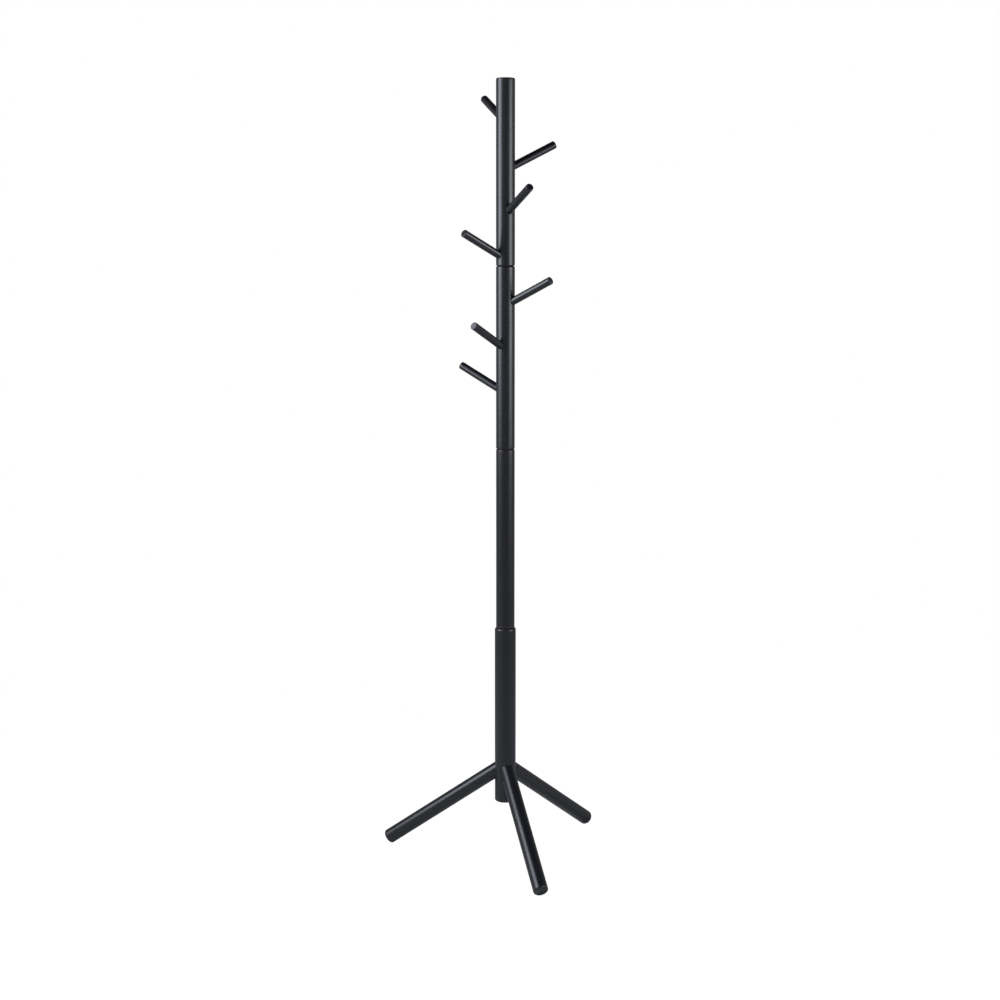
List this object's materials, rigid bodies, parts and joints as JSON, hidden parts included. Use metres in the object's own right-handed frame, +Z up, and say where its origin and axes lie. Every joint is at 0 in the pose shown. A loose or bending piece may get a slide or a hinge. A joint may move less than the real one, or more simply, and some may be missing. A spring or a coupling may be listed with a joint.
{
  "type": "standing coat rack",
  "caption": "Knock-down black wooden coat rack: round pole of screwed lengths on splayed round legs, with rising round pegs at staggered heights.",
  "frame": {"origin": "on the floor, in the middle of the footprint of the three legs. The pole's axis stands at X 0.0372, Y 0.0331", "axes": "+Z up along the pole. -Y is the side the rack was seen from, and +X is to the right from there"},
  "size_m": [0.4943, 0.4982, 1.766],
  "materials": {
    "lacquered_wood": "satin black lacquer, opaque",
    "plated_steel": "bright zinc plate",
    "insert_brass": "turned, bare"
  },
  "bodies": {
    "base": {"bottom_post": "lacquered_wood", "front_leg": "lacquered_wood", "right_leg": "lacquered_wood", "left_leg": "lacquered_wood", "front_leg_bolt": "plated_steel", "right_leg_bolt": "plated_steel", "left_leg_bolt": "plated_steel", "front_leg_insert": "insert_brass", "right_leg_insert": "insert_brass", "left_leg_insert": "insert_brass", "lower_joint_insert": "insert_brass"},
    "lower_screw": {"lower_joint_bolt": "plated_steel"},
    "lower_length": {"lower_pole": "lacquered_wood", "upper_joint_insert": "insert_brass"},
    "upper_screw": {"upper_joint_bolt": "plated_steel"},
    "upper_length": {"upper_pole": "lacquered_wood", "upper_peg_1": "lacquered_wood", "upper_peg_2": "lacquered_wood", "upper_peg_3": "lacquered_wood", "top_joint_insert": "insert_brass"},
    "top_screw": {"top_joint_bolt": "plated_steel"},
    "top_length": {"top_pole": "lacquered_wood", "top_peg_1": "lacquered_wood", "top_peg_2": "lacquered_wood", "top_peg_3": "lacquered_wood", "top_peg_4": "lacquered_wood"}
  },
  "joints": [
    {"name": "lower_joint_rise", "type": "slide", "parent": "base", "child": "lower_screw", "axis": [0, 0, 1], "range_m": [0, 0.0175]},
    {"name": "lower_joint_turn", "type": "hinge", "parent": "lower_screw", "child": "lower_length", "pos_m": [0.0372, 0.03306, 0.536], "axis": [0, 0, 1], "range_deg": [0, 5040]},
    {"name": "upper_joint_rise", "type": "slide", "parent": "lower_length", "child": "upper_screw", "axis": [0, 0, 1], "range_m": [0, 0.0175]},
    {"name": "upper_joint_turn", "type": "hinge", "parent": "upper_screw", "child": "upper_length", "pos_m": [0.0372, 0.03306, 0.946], "axis": [0, 0, 1], "range_deg": [0, 5040]},
    {"name": "top_joint_rise", "type": "slide", "parent": "upper_length", "child": "top_screw", "axis": [0, 0, 1], "range_m": [0, 0.0175]},
    {"name": "top_joint_turn", "type": "hinge", "parent": "top_screw", "child": "top_length", "pos_m": [0.0372, 0.03306, 1.356], "axis": [0, 0, 1], "range_deg": [0, 5040]}
  ],
  "couplings": [
    {"joint": "lower_joint_rise", "follows": "lower_joint_turn", "m_per_rad": 0.00019894},
    {"joint": "upper_joint_rise", "follows": "upper_joint_turn", "m_per_rad": 0.00019894},
    {"joint": "top_joint_rise", "follows": "top_joint_turn", "m_per_rad": 0.00019894}
  ]
}
